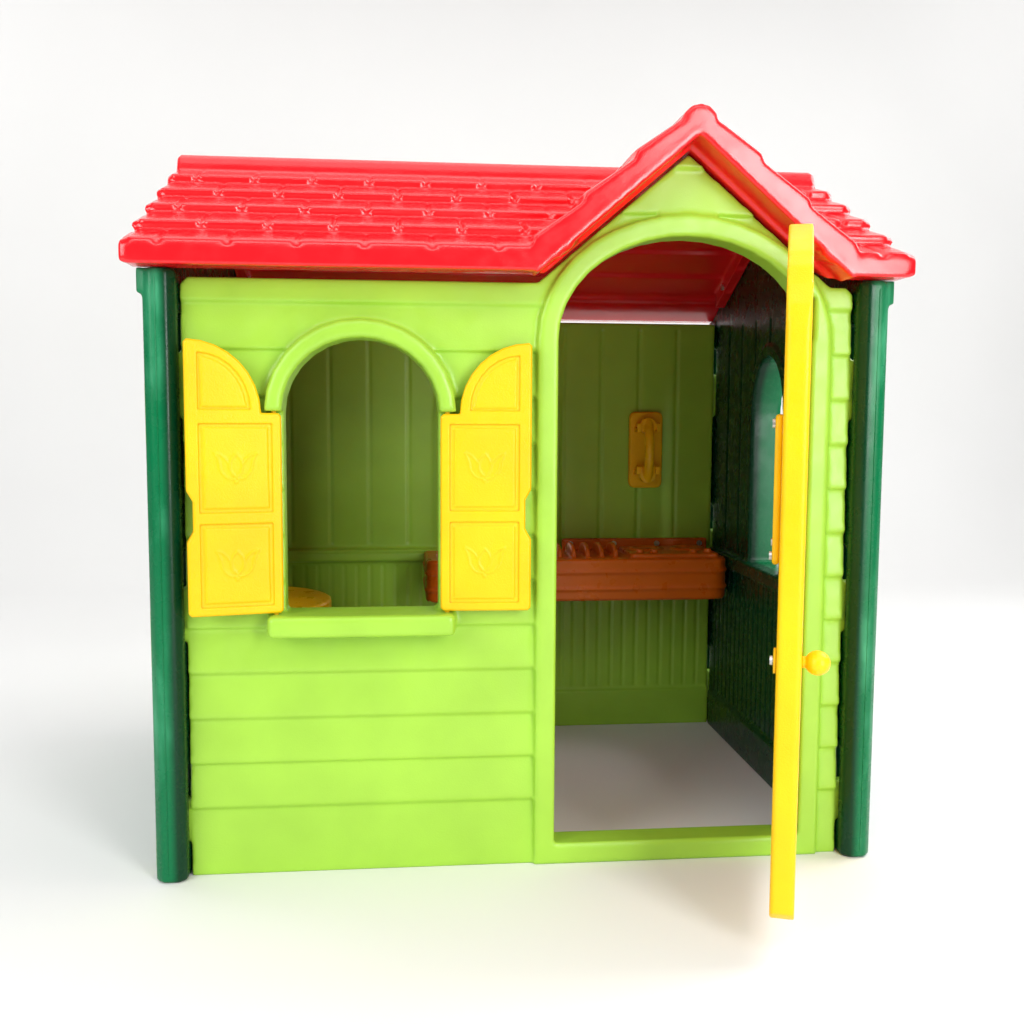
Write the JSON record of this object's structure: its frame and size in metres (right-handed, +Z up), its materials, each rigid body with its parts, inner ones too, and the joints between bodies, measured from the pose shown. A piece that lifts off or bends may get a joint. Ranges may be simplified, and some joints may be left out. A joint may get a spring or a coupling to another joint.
{
  "type": "plastic playhouse",
  "caption": "Moulded plastic child's house with an arched door, window shutters, a shingled roof with a front gable, a play kitchen, a toy telephone and a drop-leaf table.",
  "frame": {"origin": "on the floor, under the middle of the object's box with the door held 70 degrees open", "axes": "+X to the right as seen from outside the front wall, +Y from the front wall to the back wall, +Z up"},
  "size_m": [1.312, 1.3598, 1.309],
  "materials": {
    "lime_green": "satin",
    "dark_green": "satin",
    "red": "gloss",
    "yellow": "satin",
    "orange": "satin",
    "steel": "satin"
  },
  "bodies": {
    "house": {"front_wall": "lime_green", "back_wall": "lime_green", "left_wall": "dark_green", "right_wall": "dark_green", "roof_front": "red", "roof_back": "red", "roof_screw_left_1": "steel", "roof_screw_left_2": "steel", "roof_screw_left_3": "steel", "roof_screw_left_4": "steel", "roof_screw_right_1": "steel", "roof_screw_right_2": "steel", "roof_screw_right_3": "steel", "roof_screw_right_4": "steel", "kitchen_counter": "orange", "counter_screw_1": "steel", "counter_screw_2": "steel", "counter_screw_3": "steel", "counter_screw_4": "steel", "phone_cradle": "yellow", "cradle_screw_1": "steel", "cradle_screw_2": "steel", "table_pin_front": "orange", "table_pin_back": "orange"},
    "door": {"door": "yellow", "door_window_frame": "yellow", "door_knob": "yellow", "door_knob_plate": "yellow", "door_knob_screw": "steel", "door_pin_lower": "yellow", "door_pin_upper": "yellow", "door_frame_screw_1": "steel", "door_frame_screw_2": "steel", "door_frame_screw_3": "steel", "door_frame_screw_4": "steel"},
    "shutter_left": {"shutter_left": "yellow", "shutter_left_pin_lower": "yellow", "shutter_left_pin_upper": "yellow"},
    "shutter_right": {"shutter_right": "yellow", "shutter_right_pin_lower": "yellow", "shutter_right_pin_upper": "yellow"},
    "table": {"table_flap": "orange"},
    "handset": {"phone_handset": "orange"},
    "faucet": {"faucet": "yellow"}
  },
  "joints": [
    {"name": "door_hinge", "type": "hinge", "parent": "house", "child": "door", "pos_m": [0.478, -0.28208, 0], "axis": [0, 0, 1], "range_deg": [-70, 20]},
    {"name": "shutter_left_hinge", "type": "hinge", "parent": "house", "child": "shutter_left", "pos_m": [-0.424, -0.30558, 0], "axis": [0, 0, 1], "range_deg": [-11, 168]},
    {"name": "shutter_right_hinge", "type": "hinge", "parent": "house", "child": "shutter_right", "pos_m": [-0.136, -0.30558, 0], "axis": [0, 0, 1], "range_deg": [-178, 1]},
    {"name": "table_fold", "type": "hinge", "parent": "house", "child": "table", "pos_m": [-0.548, 0.15992, 0.39], "axis": [0, -1, 0], "range_deg": [0, 85]},
    {"name": "handset_lift", "type": "slide", "parent": "house", "child": "handset", "axis": [0, 0, 1], "range_m": [0, 0.08]},
    {"name": "faucet_swivel", "type": "hinge", "parent": "house", "child": "faucet", "pos_m": [-0.02, 0.52592, 0], "axis": [0, 0, 1], "range_deg": [-60, 60]}
  ]
}
